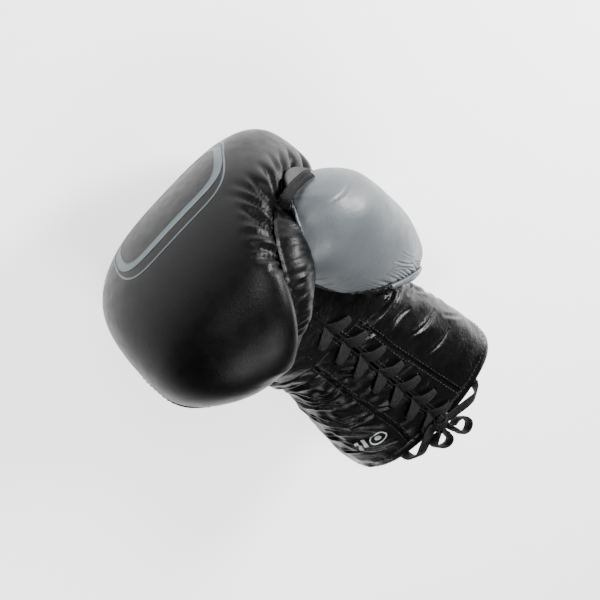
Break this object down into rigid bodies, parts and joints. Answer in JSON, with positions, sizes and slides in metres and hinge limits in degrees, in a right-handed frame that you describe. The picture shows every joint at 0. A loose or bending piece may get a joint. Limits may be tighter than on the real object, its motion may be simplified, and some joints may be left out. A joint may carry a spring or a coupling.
{
  "type": "boxing glove",
  "caption": "Right-hand lace-up boxing glove: padded curled mitt, attached thumb case and a laced wrist cuff, lying on its back.",
  "frame": {"origin": "centre of the cuff's mouth, on the plane of the bound edge", "axes": "+Y from the cuff's mouth towards the fist, +Z out of the palm side (lacing), +X towards the thumb"},
  "size_m": [0.1725, 0.305, 0.1618],
  "materials": {
    "black_leather": "satin, fine grain",
    "grey_leather": "satin, fine grain",
    "binding": "matt edge tape",
    "foam": "closed-cell foam",
    "lining": "woven nylon",
    "lace": "ribbed flat braid",
    "lace_tip": "clear sleeve over the braid"
  },
  "bodies": {
    "cuff": {"cuff_back_leather": "black_leather", "cuff_thumb_side_leather": "black_leather", "cuff_outer_side_leather": "black_leather", "cuff_back_foam": "foam", "cuff_thumb_side_foam": "foam", "cuff_outer_side_foam": "foam", "cuff_lining": "lining", "cuff_binding": "binding", "lace_flap_thumb_side": "black_leather", "lace_flap_outer_side": "black_leather", "flap_binding_thumb_side": "binding", "flap_binding_outer_side": "binding", "wrist_lace": "lace", "bow_knot": "lace", "bow_loop_thumb_side": "lace", "bow_loop_outer_side": "lace", "lace_tail_thumb_side": "lace", "lace_tail_outer_side": "lace", "lace_tip_thumb_side": "lace_tip", "lace_tip_outer_side": "lace_tip"},
    "mitt": {"back_leather": "black_leather", "palm_leather": "black_leather", "finger_leather": "black_leather", "outer_side_leather": "black_leather", "thumb_side_leather": "black_leather", "heel_leather_thumb_side": "black_leather", "heel_leather_outer_side": "black_leather", "knuckle_foam_outer": "foam", "knuckle_foam_inner": "foam", "outer_side_foam": "foam", "thumb_side_foam": "foam", "heel_foam_thumb_side": "foam", "heel_foam_outer_side": "foam", "palm_foam": "foam", "finger_foam": "foam", "hand_lining": "lining", "grip_bar": "lining", "palm_flap_thumb_side": "black_leather", "palm_flap_outer_side": "black_leather", "palm_lace": "lace", "thumb_strap": "binding"},
    "thumb": {"thumb_leather_outer": "grey_leather", "thumb_leather_inner": "black_leather", "thumb_foam_outer": "foam", "thumb_foam_inner": "foam", "thumb_lining": "lining", "thumb_piping": "black_leather"}
  },
  "joints": [
    {"name": "wrist_flex", "type": "hinge", "parent": "cuff", "child": "mitt", "pos_m": [0, 0.117, 0], "axis": [1, 0, 0], "range_deg": [-12, 12], "stiffness_Nm_per_rad": 10},
    {"name": "thumb_flex", "type": "hinge", "parent": "mitt", "child": "thumb", "pos_m": [0.056, 0.112, 0.012], "axis": [0.5215, 0.2608, -0.8124], "range_deg": [0, 8], "stiffness_Nm_per_rad": 2}
  ]
}
